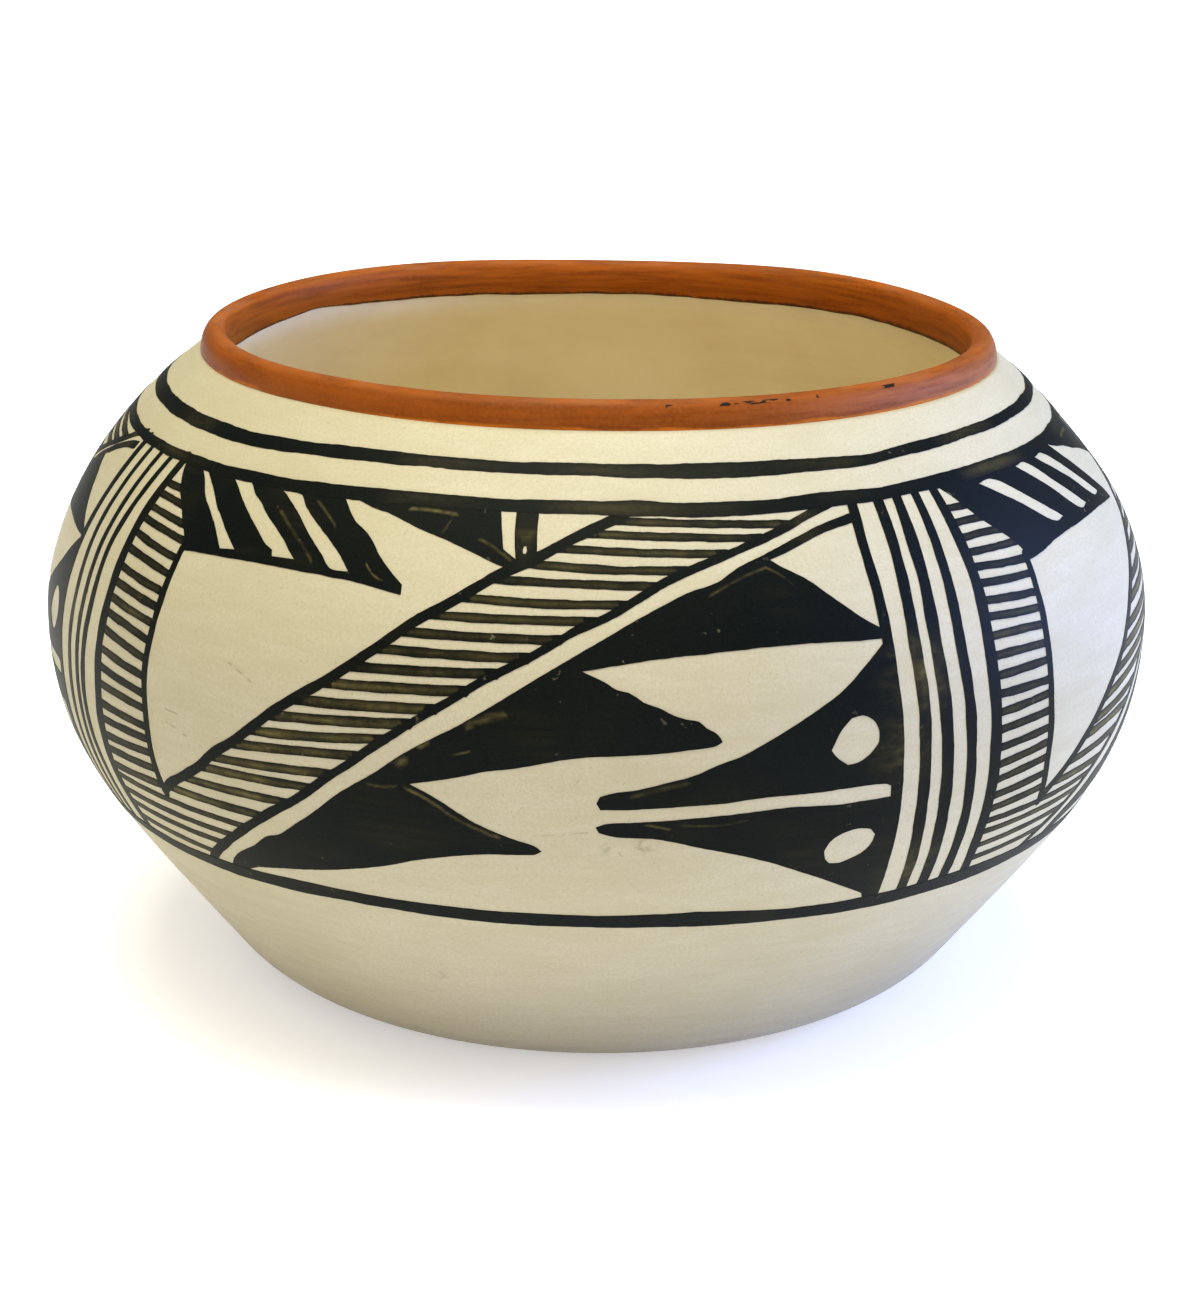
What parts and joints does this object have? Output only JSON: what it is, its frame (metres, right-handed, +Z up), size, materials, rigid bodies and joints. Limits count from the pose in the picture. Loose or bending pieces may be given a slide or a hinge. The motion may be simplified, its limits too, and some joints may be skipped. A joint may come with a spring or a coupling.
{
  "type": "pottery bowl",
  "caption": "Low round coil-built earthenware bowl, cream slip with an orange lip and black painted geometric panels.",
  "frame": {"origin": "centre of the flat foot, on the surface that the bowl stands on", "axes": "+Z up along the axis of the bowl, -Y towards the panel that faces the viewer, +X to the viewer's right"},
  "size_m": [0.2044, 0.2043, 0.1207],
  "materials": {
    "fired_clay": "matte",
    "cream_slip": "satin",
    "orange_slip": "satin",
    "black_paint": "matte"
  },
  "bodies": {
    "root": {"base_slab": "fired_clay", "wall_coil_1": "fired_clay", "wall_coil_2": "fired_clay", "wall_coil_3": "fired_clay", "wall_coil_4": "fired_clay", "wall_coil_5": "fired_clay", "wall_coil_6": "fired_clay", "wall_coil_7": "fired_clay", "wall_coil_8": "fired_clay", "wall_coil_9": "fired_clay", "rim_coil": "fired_clay", "cream_slip": "cream_slip", "rim_slip": "orange_slip", "neck_line": "black_paint", "band_top_line": "black_paint", "band_bottom_line": "black_paint", "front_hatching": "black_paint", "front_serration": "black_paint", "front_leaves": "black_paint", "front_stripe_1": "black_paint", "front_stripe_2": "black_paint", "front_stripe_3": "black_paint", "right_hatching": "black_paint", "right_serration": "black_paint", "right_leaves": "black_paint", "right_stripe_1": "black_paint", "right_stripe_2": "black_paint", "right_stripe_3": "black_paint", "back_hatching": "black_paint", "back_serration": "black_paint", "back_leaves": "black_paint", "back_stripe_1": "black_paint", "back_stripe_2": "black_paint", "back_stripe_3": "black_paint", "left_hatching": "black_paint", "left_serration": "black_paint", "left_leaves": "black_paint", "left_stripe_1": "black_paint", "left_stripe_2": "black_paint", "left_stripe_3": "black_paint"}
  },
  "joints": []
}
